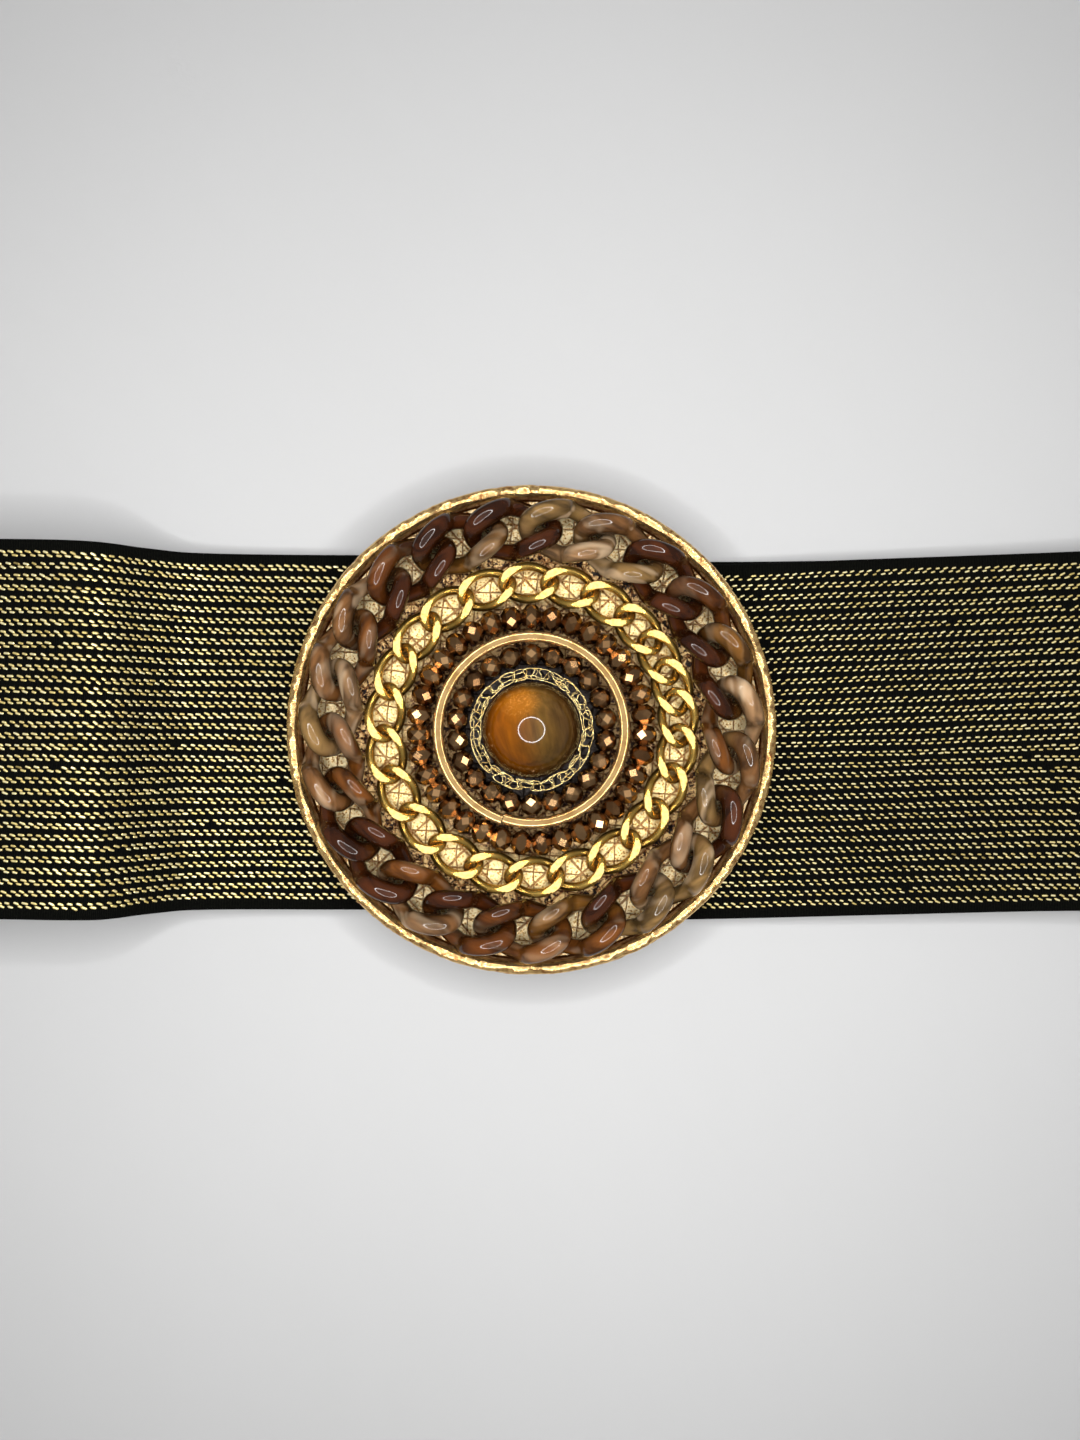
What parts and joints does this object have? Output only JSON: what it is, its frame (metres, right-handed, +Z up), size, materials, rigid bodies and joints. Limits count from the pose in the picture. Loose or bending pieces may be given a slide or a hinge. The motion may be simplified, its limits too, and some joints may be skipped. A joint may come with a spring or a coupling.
{
  "type": "elastic stretch belt",
  "caption": "Wide elastic stretch belt with metallic weave, closed and lying flat, with a round jewelled disc buckle of chains, faceted beads and a domed stone.",
  "frame": {"origin": "on the surface that the belt lies on, under the centre of the disc", "axes": "+X along the belt towards its right end, +Y across the belt towards its upper edge, +Z up out of the buckle's front"},
  "size_m": [0.32, 0.08, 0.0169],
  "materials": {
    "elastic": "black elastic webbing woven with gold metallic yarn",
    "cast_gold": "pale rose gold plating on a hammered casting",
    "chain_gold": "polished yellow gold plating, tops ground flat",
    "ring_gold": "polished pale gold wire",
    "knit_gold": "knitted fine gold wire",
    "tortoise": "marbled brown tortoise acrylic, polished",
    "bronze_bead": "faceted glass with a metallic bronze coat",
    "amber_stone": "banded amber and brown cabochon, polished"
  },
  "bodies": {
    "root": {"elastic_band": "elastic", "disc_base": "cast_gold", "clasp_loop": "cast_gold", "tortoise_link_01": "tortoise", "tortoise_link_02": "tortoise", "tortoise_link_03": "tortoise", "tortoise_link_04": "tortoise", "tortoise_link_05": "tortoise", "tortoise_link_06": "tortoise", "tortoise_link_07": "tortoise", "tortoise_link_08": "tortoise", "tortoise_link_09": "tortoise", "tortoise_link_10": "tortoise", "tortoise_link_11": "tortoise", "tortoise_link_12": "tortoise", "tortoise_link_13": "tortoise", "tortoise_link_14": "tortoise", "tortoise_link_15": "tortoise", "tortoise_link_16": "tortoise", "tortoise_link_17": "tortoise", "tortoise_link_18": "tortoise", "tortoise_link_19": "tortoise", "tortoise_link_20": "tortoise", "tortoise_link_21": "tortoise", "tortoise_link_22": "tortoise", "tortoise_link_23": "tortoise", "gold_chain": "chain_gold", "bead_ring_outer": "bronze_bead", "wire_ring": "ring_gold", "bead_ring_inner": "bronze_bead", "knit_cord_ring": "knit_gold", "centre_stone": "amber_stone"}
  },
  "joints": []
}
